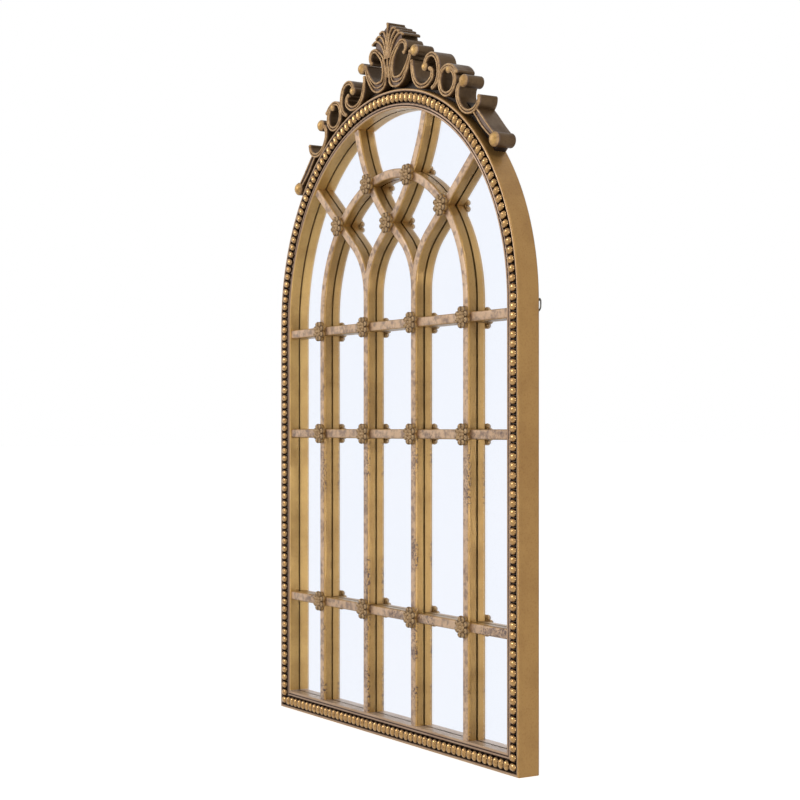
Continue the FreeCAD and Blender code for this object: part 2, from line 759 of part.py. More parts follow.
def end_ball(point):
    return crest_ball(point[0], point[1], point[2] / 2 + size("end_swell"))


def crest_ball(along, above, radius, spare=0):
    centre = on_arch(along, above)
    back = size("crest_back") - spare
    front = crest_front - size("ball_shoulder")
    wide_at = radius + spare
    dome = radius * size("ball_rise")
    ball = (radius * radius + dome * dome) / (2 * dome)
    half_angle = math.asin(radius / ball) / 2
    middle = (ball * math.sin(half_angle), front + dome - ball + ball * math.cos(half_angle))
    ease = radius * size("back_ease")
    eased = ease * (1 - math.sqrt(0.5))
    place = lambda out, depth: Vector(centre.x + out, -depth, centre.z)
    section = outline_face(place, (0, back), [
        ((wide_at - ease, back),),
        ((wide_at - eased, back + eased), (wide_at, back + ease)),
        ((wide_at, front),),
        ((middle[0] + spare, middle[1] + spare), (0, front + dome + spare)),
    ])
    return section.revolve(centre, Vector(0, 1, 0), 360)


def spine(start, end):
    half = (size("spine_height") - size("seat_clearance")) / 2
    level = outer_radius + size("spine_height") - half
    face = rectangle_face(half, size("crest_back"), size("spine_front"))
    from_crown = math.degrees(end / outer_radius)
    sweep_angle = math.degrees((end - start) / outer_radius)
    angle = math.radians(from_crown)
    path = walk(level * math.sin(angle), level * math.cos(angle), 180 - from_crown,
                [("arc", level, sweep_angle)])
    return sweep(path, face)


def palmette():
    # Ridged leaves that fan out of the heart and bend away, on a ground that fills between them
    leaf_paths = [route(points) for points in leaves]
    ridges = [sweep(path, lip_face(size("leaf_ridge"), crest_front)) for path in leaf_paths]
    edges = [leaf_paths[0]] + [route(points[:-1]) for points in leaves[1:]] + [route(heart[7:11])]
    filled = [band(*pair, size("crest_back"), ground) for pair in zip(edges, edges[1:])]
    tips = [end_ball((*points[-1], size("leaf_ridge"))) for points in leaves]
    half = ridges[1:] + filled + tips[1:]
    return [ridges[0], tips[0]] + half + [mirrored(piece) for piece in half]


lobe = [scroll(heart, crest_front), crest_ball(*heart_ball), end_ball(heart[0]), end_ball(heart[-1])]
lobe.append(sweep(route(heart[1:9]), lip_face(size("ridge_width"), crest_front - size("ridge_drop"))))
seam_at = heart[0][0]
centre_pegs = pegs(play)[:1]
centre = lobe + [mirrored(piece) for piece in lobe] + palmette() + [spine(-seam_at, seam_at)]
shaped("crest_centre", joined(centre).cut(centre_pegs + [mirrored(peg) for peg in centre_pegs]))

wing = [scroll(points, crest_front) for points in (under, over, ring, cup)]
wing.append(scroll(tail, crest_front - size("tail_drop")))
wing += [crest_ball(*ball) for ball in wing_balls]
wing += [end_ball(points[-1]) for points in (under, over, ring, cup)] + [end_ball(under[0])]
wing.append(spine(seam_at + size("seam"), wing_balls[-1][0]))
clear_of_heart = band(*[side_route(heart, side, -size("seam")) for side in (1, -1)], 0, wide)
clear_of_end = crest_ball(heart[0][0], heart[0][1], heart[0][2] / 2 + size("end_swell"), size("seam"))
clear_of_ball = crest_ball(*heart_ball, size("seam"))
wing = joined(wing).cut([clear_of_heart, clear_of_end, clear_of_ball] + pegs(play)[1:])
shaped("crest_wing_right", wing)
shaped("crest_wing_left", mirrored(wing))
all_pegs = pegs(0)
shaped("crest_pegs", Part.makeCompound(all_pegs + [mirrored(peg) for peg in all_pegs]))


# Hangers: a strap rolled round the straight side of a ring, two screws each
eye_radius = "(Sizes.wire_radius + Sizes.eye_clearance)"


def hanger_strap(label, side):
    place = "%d * (Sizes.frame_width / 2 - Sizes.hanger_inset)" % side
    plate = feature("Part::Box", label + "_plate",
                    Length="Sizes.strap_width", Width="Sizes.strap_sheet", Height="Sizes.strap_length",
                    Placement__Base__x=place + " - Sizes.strap_width / 2",
                    Placement__Base__z="Sizes.hanger_height - Sizes.strap_length")
    roll = feature("Part::Cylinder", label + "_roll",
                   Radius=eye_radius + " + Sizes.strap_sheet", Height="Sizes.strap_width",
                   Placement__Base__x=place + " - Sizes.strap_width / 2",
                   Placement__Base__y="Sizes.pivot_standoff", Placement__Base__z="Sizes.hanger_height")
    eye = feature("Part::Cylinder", label + "_eye",
                  Radius=eye_radius, Height="2 * Sizes.strap_width",
                  Placement__Base__x=place + " - Sizes.strap_width",
                  Placement__Base__y="Sizes.pivot_standoff", Placement__Base__z="Sizes.hanger_height")
    across = FreeCAD.Rotation(Vector(0, 1, 0), 90)
    roll.Placement.Rotation = across
    eye.Placement.Rotation = across
    tools = [eye]
    for number in range(2):
        drop = "Sizes.first_screw + %d * Sizes.screw_spacing" % number
        hole = feature("Part::Cylinder", "%s_hole_%d" % (label, number),
                       Radius="Sizes.screw_radius + Sizes.hole_clearance", Height="4 * Sizes.strap_sheet",
                       Placement__Base__x=place, Placement__Base__y="2 * Sizes.strap_sheet",
                       Placement__Base__z="Sizes.hanger_height - (%s)" % drop)
        hole.Placement.Rotation = FreeCAD.Rotation(Vector(1, 0, 0), 90)
        tools.append(hole)
    blank = doc.addObject("Part::Fuse", label + "_blank")
    blank.Base = plate
    blank.Tool = roll
    holes = doc.addObject("Part::MultiFuse", label + "_holes")
    holes.Shapes = tools
    strap = doc.addObject("Part::Cut", label)
    strap.Base = blank
    strap.Tool = holes
    return node(strap, label)


def wire_face(place):
    centre = place(0, -size("pivot_standoff"))
    across = place(1, -size("pivot_standoff")) - centre
    ring = Part.Circle(centre, across.cross(Vector(0, 1, 0)), size("wire_radius"))
    return Part.Face(Part.Wire(ring.toShape()))


def hanger_ring(x):
    corner = size("ring_corner")
    half = size("ring_half_width")
    flat = 2 * (half - corner)
    leg = size("ring_drop") - corner - half
    quarter = ("arc", corner, -90)
    moves = [("line", flat, 0), quarter, ("line", leg, 0), ("arc", half, -180), ("line", leg, 0), quarter]
    return sweep(walk(x - flat / 2, size("hanger_height"), 0, moves), wire_face)


def pan_screw(place):
    shank = Part.makeCylinder(size("screw_radius"), size("screw_length"), place, Vector(0, -1, 0))
    head = Part.makeCylinder(size("screw_head_radius"), size("screw_head_height"), place, Vector(0, 1, 0))
    return shank.fuse(head).removeSplitter()


screws = [pan_screw(place) for place in screw_places()]
for label, side in [("left", -1), ("right", 1)]:
    hanger_strap("hanger_strap_" + label, side)
    shaped("hanger_ring_" + label, hanger_ring(side * hanger_x))
shaped("hanger_screws", Part.makeCompound(screws + [mirrored(screw) for screw in screws]))

doc.recompute()
for obj in doc.Objects:
    if "Invalid" in obj.State or "Error" in obj.State:
        raise RuntimeError("%s failed to build" % obj.Label)
for obj in node_objects:
    if obj.Shape.isNull() or not obj.Shape.isValid():
        raise RuntimeError("%s has no valid shape" % obj.Label)

os.makedirs("parts", exist_ok=True)
for obj in node_objects:
    obj.Shape.exportStep(os.path.join("parts", obj.Label + ".step"))
    print(obj.Label, len(obj.Shape.Solids), round(obj.Shape.Volume))
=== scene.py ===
import math

import bmesh
import bpy
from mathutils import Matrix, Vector


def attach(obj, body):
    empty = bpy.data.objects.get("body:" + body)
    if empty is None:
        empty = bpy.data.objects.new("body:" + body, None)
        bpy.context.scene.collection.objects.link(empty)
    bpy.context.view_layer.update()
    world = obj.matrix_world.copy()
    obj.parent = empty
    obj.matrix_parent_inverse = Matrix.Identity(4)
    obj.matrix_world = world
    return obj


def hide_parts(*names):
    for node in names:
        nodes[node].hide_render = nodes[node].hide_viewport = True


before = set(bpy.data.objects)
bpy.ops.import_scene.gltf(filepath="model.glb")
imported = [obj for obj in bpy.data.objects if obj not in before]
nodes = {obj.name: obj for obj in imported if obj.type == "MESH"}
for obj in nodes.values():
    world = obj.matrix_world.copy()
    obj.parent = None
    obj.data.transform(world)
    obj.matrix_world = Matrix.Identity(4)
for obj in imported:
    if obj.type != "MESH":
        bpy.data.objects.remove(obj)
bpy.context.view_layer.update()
print("frame loaded:", len(nodes), "nodes")


def shade(red, green, blue):
    # screen colour 0-255 to the linear colour that a shader takes
    channels = []
    for value in (red, green, blue):
        share = value / 255
        channels.append(share / 12.92 if share <= 0.04045 else ((share + 0.055) / 1.055) ** 2.4)
    return (*channels, 1.0)


# small wrappers for node trees
def place(tree, kind, **values):
    item = tree.nodes.new(kind)
    for key, value in values.items():
        setattr(item, key, value)
    return item


def feed(tree, target, source):
    # a socket is linked, a plain value is set on the socket itself
    if isinstance(source, bpy.types.NodeSocket):
        tree.links.new(source, target)
    else:
        target.default_value = source


def noise(tree, vector, scale, detail=3.0, rough=0.55, stretch=None):
    if stretch:
        mapping = place(tree, "ShaderNodeMapping")
        mapping.inputs["Scale"].default_value = stretch
        feed(tree, mapping.inputs["Vector"], vector)
        vector = mapping.outputs["Vector"]
    item = place(tree, "ShaderNodeTexNoise")
    feed(tree, item.inputs["Vector"], vector)
    feed(tree, item.inputs["Scale"], scale)
    item.inputs["Detail"].default_value = detail
    item.inputs["Roughness"].default_value = rough
    return item.outputs["Fac"]


def ramp(tree, value, low, high):
    # 0 below low, 1 above high, smooth between
    item = place(tree, "ShaderNodeMapRange", interpolation_type="SMOOTHSTEP")
    feed(tree, item.inputs["Value"], value)
    feed(tree, item.inputs["From Min"], low)
    feed(tree, item.inputs["From Max"], high)
    return item.outputs["Result"]


def sums(tree, operation, first, second):
    item = place(tree, "ShaderNodeMath", operation=operation)
    feed(tree, item.inputs[0], first)
    feed(tree, item.inputs[1], second)
    return item.outputs["Value"]


def blendColor(tree, factor, first, second, mode="MIX"):
    item = place(tree, "ShaderNodeMix", data_type="RGBA", blend_type=mode)
    feed(tree, item.inputs["Factor"], factor)
    feed(tree, item.inputs["A"], first)
    feed(tree, item.inputs["B"], second)
    return item.outputs["Result"]


def newGroup(name, takes, gives):
    tree = bpy.data.node_groups.new(name, "ShaderNodeTree")
    for label, kind, start in takes:
        socket = tree.interface.new_socket(label, in_out="INPUT", socket_type=kind)
        if start is not None:
            socket.default_value = start
    for label, kind in gives:
        tree.interface.new_socket(label, in_out="OUTPUT", socket_type=kind)
    return tree, place(tree, "NodeGroupInput").outputs, place(tree, "NodeGroupOutput").inputs


def useGroup(tree, group, **values):
    item = place(tree, "ShaderNodeGroup", node_tree=group)
    for key, value in values.items():
        feed(tree, item.inputs[key], value)
    return item.outputs


# worn gilding: one gold, stained in clouds, speckled and chipped
gildingWear = {
    "cloud": (0.38, 0.68), "fineScale": 420.0, "speckle": (0.48, 0.72), "speckleShare": 0.35,
    "patchScale": 45.0, "patch": (0.48, 0.60), "chipScale": 300.0, "chip": (0.60, 0.66),
    "dulling": 0.3, "fineShine": 0.08, "fineHeight": 0.4,
}


def makeWornGilding():
    wear = gildingWear
    tree, takes, gives = newGroup(
        "wornGilding",
        [("Vector", "NodeSocketVector", None), ("Gold", "NodeSocketColor", None),
         ("Stain", "NodeSocketColor", None), ("Chip", "NodeSocketColor", None),
         ("Clouding", "NodeSocketFloat", 0.4), ("Grain", "NodeSocketFloat", 30.0),
         ("Chips", "NodeSocketFloat", 0.5), ("Gloss", "NodeSocketFloat", 0.35)],
        [("Color", "NodeSocketColor"), ("Roughness", "NodeSocketFloat"), ("Height", "NodeSocketFloat")])
    vector = takes["Vector"]
    cloud = ramp(tree, noise(tree, vector, takes["Grain"], detail=4.0), *wear["cloud"])
    fine = noise(tree, vector, wear["fineScale"], detail=2.0)
    tint = sums(tree, "MULTIPLY", cloud, takes["Clouding"])
    color = blendColor(tree, tint, takes["Gold"], takes["Stain"], "MULTIPLY")
    speckle = sums(tree, "MULTIPLY", ramp(tree, fine, *wear["speckle"]), wear["speckleShare"])
    color = blendColor(tree, speckle, color, takes["Stain"], "MULTIPLY")
    where = ramp(tree, noise(tree, vector, wear["patchScale"], detail=2.0), *wear["patch"])
    bits = ramp(tree, noise(tree, vector, wear["chipScale"], rough=0.7), *wear["chip"])
    chips = sums(tree, "MULTIPLY", sums(tree, "MULTIPLY", where, bits), takes["Chips"])
    feed(tree, gives["Color"], blendColor(tree, chips, color, takes["Chip"]))
    dull = sums(tree, "MULTIPLY", sums(tree, "ADD", tint, chips), wear["dulling"])
    shine = sums(tree, "ADD", takes["Gloss"], sums(tree, "MULTIPLY", fine, wear["fineShine"]))
    feed(tree, gives["Roughness"], sums(tree, "ADD", shine, dull))
    raised = sums(tree, "MULTIPLY", fine, wear["fineHeight"])
    feed(tree, gives["Height"], sums(tree, "SUBTRACT", raised, chips))
    return tree


# depth band: 1 from the first depth on, 0 from the second on; either may lie nearer the wall
bandEdge = {"strayScale": 180.0, "strayMiddle": 0.5}


def makeDepthBand():
    tree, takes, gives = newGroup(
        "depthBand",
        [("Vector", "NodeSocketVector", None), ("Front", "NodeSocketFloat", -0.04),
         ("Back", "NodeSocketFloat", -0.03), ("Ragged", "NodeSocketFloat", 0.0005)],
        [("Mask", "NodeSocketFloat")])
    split = place(tree, "ShaderNodeSeparateXYZ")
    feed(tree, split.inputs["Vector"], takes["Vector"])
    stray = noise(tree, takes["Vector"], bandEdge["strayScale"])
    stray = sums(tree, "SUBTRACT", stray, bandEdge["strayMiddle"])
    depth = sums(tree, "ADD", split.outputs["Y"], sums(tree, "MULTIPLY", stray, takes["Ragged"]))
    feed(tree, gives["Mask"], ramp(tree, depth, takes["Back"], takes["Front"]))
    return tree


# inset: distance inward from the outer edge of the arched frame, in shares of the moulding's width
def makeFrameInset():
    tree, takes, gives = newGroup(
        "frameInset",
        [("Vector", "NodeSocketVector", None), ("Radius", "NodeSocketFloat", 0.375),
         ("Foot", "NodeSocketFloat", -0.709), ("Width", "NodeSocketFloat", 0.032)],
        [("Share", "NodeSocketFloat")])
    split = place(tree, "ShaderNodeSeparateXYZ")
    feed(tree, split.inputs["Vector"], takes["Vector"])
    flat = place(tree, "ShaderNodeCombineXYZ")
    feed(tree, flat.inputs["X"], split.outputs["X"])
    feed(tree, flat.inputs["Z"], sums(tree, "MAXIMUM", split.outputs["Z"], 0.0))
    length = place(tree, "ShaderNodeVectorMath", operation="LENGTH")
    feed(tree, length.inputs[0], flat.outputs["Vector"])
    fromSide = sums(tree, "SUBTRACT", takes["Radius"], length.outputs["Value"])
    fromFoot = sums(tree, "SUBTRACT", split.outputs["Z"], takes["Foot"])
    inset = sums(tree, "MINIMUM", fromSide, fromFoot)
    feed(tree, gives["Share"], sums(tree, "DIVIDE", inset, takes["Width"]))
    return tree


# edge chips: broken flakes along the front edges, more of them toward the foot
flakeWear = {"patchScale": 12.0, "patch": (0.45, 0.53), "bitScale": 230.0, "bit": (0.51, 0.56)}


def makeEdgeChips():
    tree, takes, gives = newGroup(
        "edgeChips",
        [("Vector", "NodeSocketVector", None), ("Edge", "NodeSocketFloat", -0.034),
         ("Reach", "NodeSocketFloat", 0.003), ("High", "NodeSocketFloat", 0.1),
         ("Low", "NodeSocketFloat", -0.3)],
        [("Mask", "NodeSocketFloat")])
    vector = takes["Vector"]
    split = place(tree, "ShaderNodeSeparateXYZ")
    feed(tree, split.inputs["Vector"], vector)
    off = sums(tree, "ABSOLUTE", sums(tree, "SUBTRACT", split.outputs["Y"], takes["Edge"]), 0.0)
    window = ramp(tree, off, takes["Reach"], 0.0)
    patches = ramp(tree, noise(tree, vector, flakeWear["patchScale"], detail=2.0), *flakeWear["patch"])
    bits = noise(tree, vector, flakeWear["bitScale"], detail=4.0, rough=0.7)
    bits = ramp(tree, bits, *flakeWear["bit"])
    mask = sums(tree, "MULTIPLY", sums(tree, "MULTIPLY", window, patches), bits)
    lower = ramp(tree, split.outputs["Z"], takes["High"], takes["Low"])
    feed(tree, gives["Mask"], sums(tree, "MULTIPLY", mask, lower))
    return tree


wornGilding = makeWornGilding()
depthBand = makeDepthBand()
frameInset = makeFrameInset()
edgeChips = makeEdgeChips()


def startMaterial(name):
    material = bpy.data.materials.new(name)
    material.use_nodes = True
    tree = material.node_tree
    body = tree.nodes["Principled BSDF"]
    where = place(tree, "ShaderNodeTexCoord").outputs["Object"]
    return material, tree, body, where


def bumpInto(tree, body, height, strength, distance):
    item = place(tree, "ShaderNodeBump")
    item.inputs["Strength"].default_value = strength
    item.inputs["Distance"].default_value = distance
    feed(tree, item.inputs["Height"], height)
    feed(tree, body.inputs["Normal"], item.outputs["Normal"])


def stepColors(tree, value, steps):
    # colour steps of a moulding, as (share of its width, colour)
    item = place(tree, "ShaderNodeValToRGB")
    stops = item.color_ramp.elements
    while len(stops) < len(steps):
        stops.new(0.5)
    for stop, (share, color) in zip(stops, steps):
        stop.position = share
        stop.color = color
    feed(tree, item.inputs["Fac"], value)
    return item.outputs["Color"]


# lengths in metres, insets in shares of the moulding's width
giltDetail = {
    "footSoft": 0.001, "footFade": 0.05, "sillSoft": 0.002, "sillInside": (0.97, 0.99),
    "spot": (0.42, 0.68), "coatRoughness": 0.12, "bump": 0.35, "bumpDepth": 0.0004,
}


def giltMaterial(name, look):
    # bands is a list of (full depth, end depth, raggedness, colour, spot colour, strength, metal)
    material, tree, body, where = startMaterial(name)
    metal = look["metal"]
    if "steps" in look or "foot" in look or "sillSheen" in look:
        inset = useGroup(tree, frameInset, Vector=where)["Share"]
    gold = stepColors(tree, inset, look["steps"]) if "steps" in look else look["gold"]
    if "foot" in look:
        # painted shade: the recessed plinth on the arch is coloured dark as if it lay in shadow
        reach, front, tint = look["foot"]
        near = front - giltDetail["footSoft"]
        ahead = useGroup(tree, depthBand, Vector=where, Front=near, Back=front, Ragged=0.0)["Mask"]
        low = ramp(tree, inset, -reach - giltDetail["footFade"], -reach)
        dark = sums(tree, "MULTIPLY", low, sums(tree, "SUBTRACT", 1.0, ahead))
        gold = blendColor(tree, dark, gold, tint)
    if "sillSheen" in look:
        # painted sheen: the upward face of the bottom rail, inside the moulding, is coloured pale as if
        # it mirrored the bright room
        level, tint = look["sillSheen"]
        split = place(tree, "ShaderNodeSeparateXYZ")
        feed(tree, split.inputs["Vector"], where)
        low = ramp(tree, split.outputs["Z"], level + giltDetail["sillSoft"], level)
        inside = ramp(tree, inset, *giltDetail["sillInside"])
        gold = blendColor(tree, sums(tree, "MULTIPLY", low, inside), gold, tint)
    spots = ramp(tree, noise(tree, where, look["spots"]), *giltDetail["spot"])
    for front, back, ragged, tint, spotTint, strength, bandMetal in look["bands"]:
        mask = useGroup(tree, depthBand, Vector=where, Front=front, Back=back, Ragged=ragged)["Mask"]
        mask = sums(tree, "MULTIPLY", mask, strength)
        gold = blendColor(tree, mask, gold, blendColor(tree, spots, tint, spotTint))
        if bandMetal != look["metal"]:
            change = sums(tree, "MULTIPLY", mask, bandMetal - look["metal"])
            metal = sums(tree, "ADD", change, metal)
    worn = useGroup(tree, wornGilding, Vector=where, Gold=gold, Stain=look["stain"],
                    Chip=look["chip"], Clouding=look["clouding"], Grain=look["grain"],
                    Chips=look["chips"], Gloss=look["gloss"])
    color = worn["Color"]
    if "edge" in look:
        flakes = useGroup(tree, edgeChips, Vector=where, **look["edge"])["Mask"]
        color = blendColor(tree, flakes, color, look["chip"])
    feed(tree, body.inputs["Base Color"], color)
    feed(tree, body.inputs["Roughness"], worn["Roughness"])
    feed(tree, body.inputs["Metallic"], metal)
    body.inputs["Coat Weight"].default_value = look["coat"]
    body.inputs["Coat Roughness"].default_value = giltDetail["coatRoughness"]
    bumpInto(tree, body, worn["Height"], giltDetail["bump"], giltDetail["bumpDepth"])
    return material


frameLook = {
    "stain": shade(206, 190, 172), "chip": shade(70, 50, 38),
    "spots": 160.0, "clouding": 0.3, "grain": 20.0, "chips": 0.12,
    "gloss": 0.40, "metal": 0.6, "coat": 0.25,
    # painted sheen: pale colour on the upward face of the bottom rail
    "sillSheen": (-0.6765, shade(196, 174, 152)),
    # colour steps across the moulding, outer edge to sight edge: partly its own tone; the pale lines on
    # the rim and reeds are painted highlights, the dark bead channel and reed grooves painted shade
    "steps": [(0.0, shade(161, 122, 66)), (0.03, shade(161, 122, 66)), (0.05, shade(196, 158, 106)),
              (0.09, shade(168, 138, 110)), (0.13, shade(120, 94, 72)), (0.17, shade(60, 44, 30)),
              (0.69, shade(60, 44, 30)), (0.74, shade(150, 122, 100)), (0.79, shade(186, 154, 126)),
              (0.84, shade(84, 64, 50)), (0.87, shade(84, 64, 50)), (0.92, shade(186, 154, 126)),
              (0.97, shade(160, 130, 100)), (0.99, shade(206, 166, 98))],
    "bands": [(-0.0012, -0.0030, 0.0006, shade(112, 82, 54), shade(92, 66, 44), 1.0, 0.0)],
}
barLook = {
    "gold": shade(176, 138, 78), "stain": shade(206, 192, 176), "chip": shade(56, 38, 44),
    "spots": 95.0, "clouding": 0.3, "grain": 24.0, "chips": 0.3,
    "gloss": 0.36, "metal": 0.65, "coat": 0.25,
    "edge": {"Edge": -0.0332, "Reach": 0.0060, "High": 0.05, "Low": -0.35},
    # painted reflection: the bar fronts are coloured pale mauve, as if mirroring the bright room,
    # against the gold sides
    "bands": [(-0.0353, -0.0340, 0.0016, shade(204, 170, 137), shade(144, 119, 102), 0.95, 0.25)],
}
beadLook = {
    # painted shade: the dark base colour stands for the shade in the gaps between the beads; the band
    # gives the bead fronts their gold
    "gold": shade(64, 46, 29), "stain": shade(206, 188, 168), "chip": shade(50, 34, 22),
    "spots": 300.0, "clouding": 0.4, "grain": 90.0, "chips": 0.2,
    "gloss": 0.13, "metal": 0.92, "coat": 0.3,
    "bands": [(-0.0430, -0.0392, 0.0006, shade(192, 152, 96), shade(156, 118, 70), 1.0, 0.92)],
}
crestLook = {
    "gold": shade(92, 70, 43), "stain": shade(196, 180, 164), "chip": shade(60, 46, 36),
    "spots": 150.0, "clouding": 0.5, "grain": 45.0, "chips": 0.2,
    "gloss": 0.38, "metal": 0.6, "coat": 0.05,
    # painted shade: dark colour on the recessed plinth
    "foot": (0.41, -0.0250, shade(38, 26, 17)),
    # bands by depth: mauve-brown coves, pale lips, bright gold on the foremost parts, brown back; the
    # pale lips are painted highlights
    "bands": [(-0.0352, -0.0338, 0.0008, shade(108, 85, 72), shade(88, 67, 55), 0.9, 0.3),
              (-0.0376, -0.0357, 0.0007, shade(190, 153, 104), shade(152, 120, 82), 0.95, 0.6),
              (-0.0412, -0.0396, 0.0006, shade(200, 160, 94), shade(172, 134, 76), 0.9, 0.8),
              (-0.0042, -0.0056, 0.0006, shade(112, 82, 54), shade(92, 66, 44), 1.0, 0.0)],
}
rosetteLook = {
    "gold": shade(170, 134, 80), "stain": shade(200, 186, 170), "chip": shade(64, 46, 34),
    "spots": 320.0, "clouding": 0.4, "grain": 120.0, "chips": 0.2,
    "gloss": 0.42, "metal": 0.5, "coat": 0.15,
    "bands": [(-0.0424, -0.0412, 0.0005, shade(80, 58, 37), shade(62, 44, 29), 0.85, 0.3),
              (-0.0444, -0.0430, 0.0006, shade(184, 151, 106), shade(148, 119, 82), 0.95, 0.4)],
}

frameGilt = giltMaterial("frameGilt", frameLook)
barGilt = giltMaterial("barGilt", barLook)
beadGilt = giltMaterial("beadGilt", beadLook)
crestGilt = giltMaterial("crestGilt", crestLook)
rosetteGilt = giltMaterial("rosetteGilt", rosetteLook)
print("gilt finishes made")


# plain finishes of the back: hardboard, zinc plate, bare wood
hardboardLook = {
    "plain": shade(122, 88, 60), "dark": shade(98, 69, 46), "thread": shade(146, 110, 78),
    "fibre": 900.0, "along": (1.0, 1.0, 0.35), "threads": (0.5, 0.75),
    "cloud": 9.0, "clouds": (0.3, 0.7), "matt": (-0.6, 1.1), "bump": 0.2, "bumpDepth": 0.0003,
}


def makeHardboard():
    look = hardboardLook
    material, tree, body, where = startMaterial("hardboard")
    fibre = noise(tree, where, look["fibre"], detail=4.0, rough=0.6, stretch=look["along"])
    cloud = noise(tree, where, look["cloud"])
    color = blendColor(tree, ramp(tree, cloud, *look["clouds"]), look["plain"], look["dark"])
    color = blendColor(tree, ramp(tree, fibre, *look["threads"]), color, look["thread"])
    feed(tree, body.inputs["Base Color"], color)
    feed(tree, body.inputs["Roughness"], ramp(tree, fibre, *look["matt"]))
    bumpInto(tree, body, fibre, look["bump"], look["bumpDepth"])
    return material


zincLook = {
    "plain": shade(122, 119, 114), "dark": shade(96, 93, 89),
    "spangle": 260.0, "spangles": (0.35, 0.65), "matt": (-0.6, 2.2), "bump": 0.1, "bumpDepth": 0.0002,
}


def makeZinc():
    look = zincLook
    material, tree, body, where = startMaterial("zincPlate")
    spangle = noise(tree, where, look["spangle"], detail=2.0)
    color = blendColor(tree, ramp(tree, spangle, *look["spangles"]), look["plain"], look["dark"])
    feed(tree, body.inputs["Base Color"], color)
    feed(tree, body.inputs["Roughness"], ramp(tree, spangle, *look["matt"]))
    body.inputs["Metallic"].default_value = 1.0
    bumpInto(tree, body, spangle, look["bump"], look["bumpDepth"])
    return material


bareWoodLook = {
    "plain": shade(206, 168, 122), "dark": shade(168, 126, 84),
    "grain": 160.0, "along": (1.0, 1.0, 0.1), "streaks": (0.35, 0.7),
    "matt": (-1.0, 1.4), "bump": 0.2, "bumpDepth": 0.0002,
}


def makeBareWood():
    look = bareWoodLook
    material, tree, body, where = startMaterial("bareWood")
    grain = noise(tree, where, look["grain"], detail=4.0, rough=0.6, stretch=look["along"])
    color = blendColor(tree, ramp(tree, grain, *look["streaks"]), look["plain"], look["dark"])
    feed(tree, body.inputs["Base Color"], color)
    feed(tree, body.inputs["Roughness"], ramp(tree, grain, *look["matt"]))
    bumpInto(tree, body, grain, look["bump"], look["bumpDepth"])
    return material


# mirror: clear glass in front of a silvered back
mirrorLook = {
    "glass": (0.985, 0.99, 1.0, 1.0), "ior": 1.5, "wipe": 6.0, "wipeBlur": 0.004,
    "silver": shade(245, 248, 255), "hazy": shade(243, 247, 255), "haze": 4.0, "hazes": (0.3, 0.8),
    "hazeBlur": 0.01,
}


def makeClearGlass():
    material, tree, body, where = startMaterial("clearGlass")
    body.inputs["Base Color"].default_value = mirrorLook["glass"]
    body.inputs["Transmission Weight"].default_value = 1.0
    body.inputs["IOR"].default_value = mirrorLook["ior"]
    wipe = noise(tree, where, mirrorLook["wipe"])
    feed(tree, body.inputs["Roughness"], sums(tree, "MULTIPLY", wipe, mirrorLook["wipeBlur"]))
    return material


def makeSilvering():
    material, tree, body, where = startMaterial("silvering")
    haze = noise(tree, where, mirrorLook["haze"], detail=2.0)
    cloud = ramp(tree, haze, *mirrorLook["hazes"])
    color = blendColor(tree, cloud, mirrorLook["silver"], mirrorLook["hazy"])
    feed(tree, body.inputs["Base Color"], color)
    body.inputs["Metallic"].default_value = 1.0
    feed(tree, body.inputs["Roughness"], sums(tree, "MULTIPLY", haze, mirrorLook["hazeBlur"]))
    return material


hardboard = makeHardboard()
zincPlate = makeZinc()
bareWood = makeBareWood()
clearGlass = makeClearGlass()
silvering = makeSilvering()

finishes = [
    ("frame_dowels", bareWood), ("crest_pegs", bareWood), ("frame_", frameGilt), ("mullion_", barGilt),
    ("transom_", barGilt), ("inner_arch", barGilt), ("branch_", barGilt), ("beads_", beadGilt),
    ("rosette_", rosetteGilt), ("crest_", crestGilt), ("backing_board", hardboard),
    ("mirror_glass", silvering), ("retaining_points", zincPlate), ("hanger_", zincPlate),
]
for name, piece in nodes.items():
    finish = next(material for start, material in finishes if name.startswith(start))
    piece.data.materials.clear()
    piece.data.materials.append(finish)
print("finishes laid on the nodes")


def addPiece(name, mesh, materials, body):
    piece = bpy.data.objects.new(name, mesh)
    for material in materials:
        mesh.materials.append(material)
    bpy.context.scene.collection.objects.link(piece)
    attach(piece, body)
    return piece


# mirror sheet: an arched plate, glass all round, silver on the back face
sheet = {
    "foot": -0.688, "half": 0.354, "front": -0.020, "back": -0.0161, "archSteps": 96,
    "weld": 1e-6, "backFacing": 0.9,
}


def makeMirror():
    work = bmesh.new()
    low = [work.verts.new((x, sheet["front"], sheet["foot"])) for x in (-sheet["half"], sheet["half"])]
    edge = [work.verts.new((sheet["half"], sheet["front"], 0.0))]
    work.edges.new((low[1], edge[0]))
    bmesh.ops.spin(work, geom=edge, cent=(0, 0, 0), axis=(0, -1, 0), angle=math.pi,
                   steps=sheet["archSteps"])
    bmesh.ops.remove_doubles(work, verts=work.verts, dist=sheet["weld"])
    last = min((v for v in work.verts if v not in low), key=lambda v: v.co.x)
    work.edges.new((last, low[0]))
    work.edges.new((low[0], low[1]))
    face = bmesh.ops.contextual_create(work, geom=list(work.edges))["faces"]
    grown = bmesh.ops.extrude_face_region(work, geom=face)["geom"]
    moved = [part for part in grown if isinstance(part, bmesh.types.BMVert)]
    bmesh.ops.translate(work, verts=moved, vec=(0, sheet["back"] - sheet["front"], 0))
    bmesh.ops.recalc_face_normals(work, faces=work.faces)
    work.normal_update()
    for side in work.faces:
        side.material_index = 1 if side.normal.y > sheet["backFacing"] else 0
    mesh = bpy.data.meshes.new("mirrorSheet")
    work.to_mesh(mesh)
    work.free()
    return mesh


mirror = addPiece("mirrorSheet", makeMirror(), [clearGlass, silvering], "frame")
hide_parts("mirror_glass")
print("mirror sheet made")

# stage: pale floor that keeps the shadow, white all round
floorLook = {
    "half": 40.0, "level": -0.7092, "color": (0.9, 0.9, 0.9, 1.0), "roughness": 0.9, "glow": 0.60,
}


